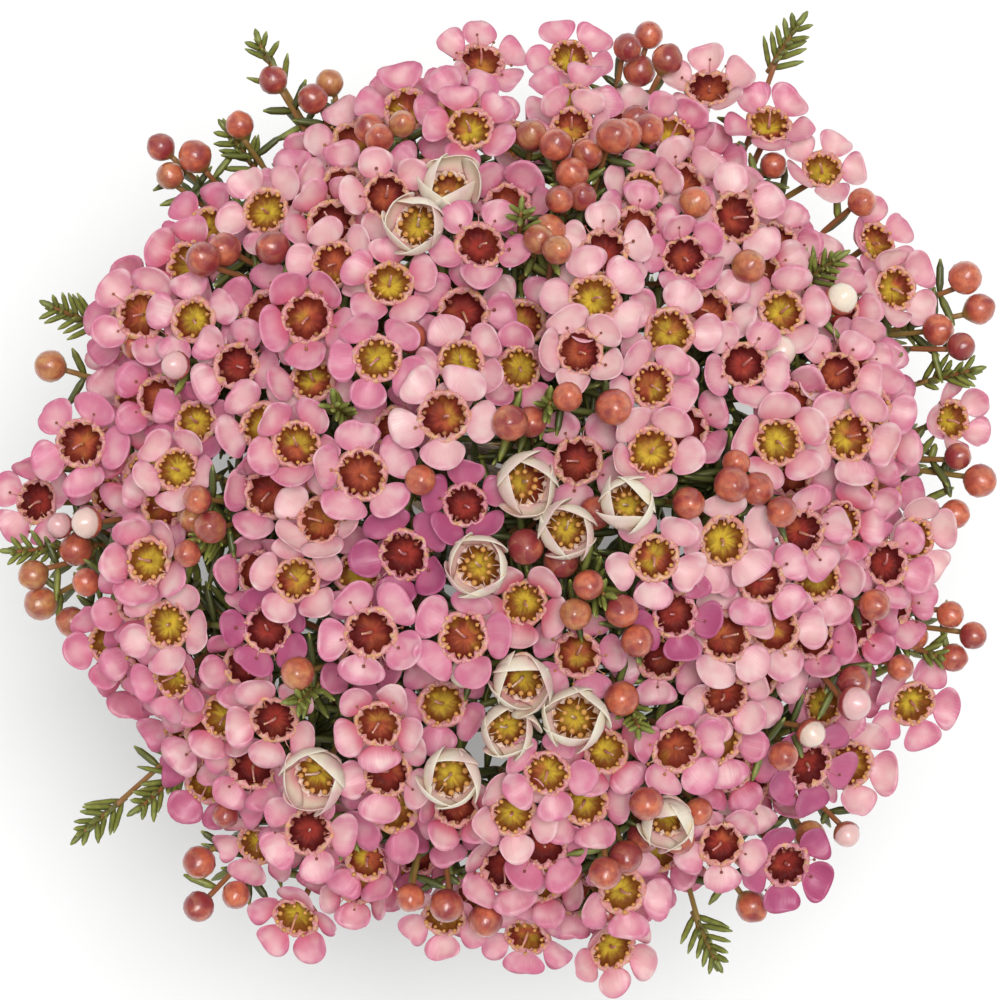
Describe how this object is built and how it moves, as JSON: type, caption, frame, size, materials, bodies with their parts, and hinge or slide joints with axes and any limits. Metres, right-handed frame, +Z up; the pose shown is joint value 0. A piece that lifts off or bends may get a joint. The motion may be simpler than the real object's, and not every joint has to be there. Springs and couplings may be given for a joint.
{
  "type": "waxflower bunch",
  "caption": "Round hand-tied bunch of pink waxflower stems, held by a rubber band and standing on its splayed cut ends.",
  "frame": {"origin": "the middle of the bunch in plan, on the level of the cut stem ends", "axes": "+Z straight up from the cut ends to the top of the flower head; X and Y in plan"},
  "size_m": [0.1978, 0.1934, 0.2562],
  "materials": {
    "wood": "thin, slightly flaky olive-brown bark with green young twigs and needle leaves",
    "blossom": "waxy pale-pink petals round dark red or golden cups, with glossy coppery buds and green stalks",
    "band": "plain natural rubber"
  },
  "bodies": {
    "root": {"rubber_band": "band", "spray_01": "blossom", "spray_02": "blossom", "spray_03": "blossom", "spray_04": "blossom", "spray_05": "blossom", "spray_06": "blossom", "spray_07": "blossom", "spray_08": "blossom", "spray_09": "blossom", "spray_10": "blossom", "spray_11": "blossom", "spray_12": "blossom", "spray_13": "blossom", "spray_14": "blossom", "spray_15": "blossom", "spray_16": "blossom", "spray_17": "blossom", "spray_18": "blossom", "spray_19": "blossom", "spray_20": "blossom", "spray_21": "blossom", "spray_22": "blossom", "spray_23": "blossom", "spray_24": "blossom", "spray_25": "blossom", "spray_26": "blossom", "spray_27": "blossom", "spray_28": "blossom", "spray_29": "blossom", "spray_30": "blossom", "spray_31": "blossom", "spray_32": "blossom", "spray_33": "blossom", "spray_34": "blossom", "spray_35": "blossom", "spray_36": "blossom", "spray_37": "blossom", "spray_38": "blossom", "spray_39": "blossom", "spray_40": "blossom", "spray_41": "blossom", "spray_42": "blossom", "stem_01": "wood", "stem_02": "wood", "stem_03": "wood", "stem_04": "wood", "stem_05": "wood", "stem_06": "wood", "stem_07": "wood", "stem_08": "wood", "stem_09": "wood", "stem_10": "wood", "stem_11": "wood", "stem_12": "wood", "stem_13": "wood", "stem_14": "wood"}
  },
  "joints": []
}
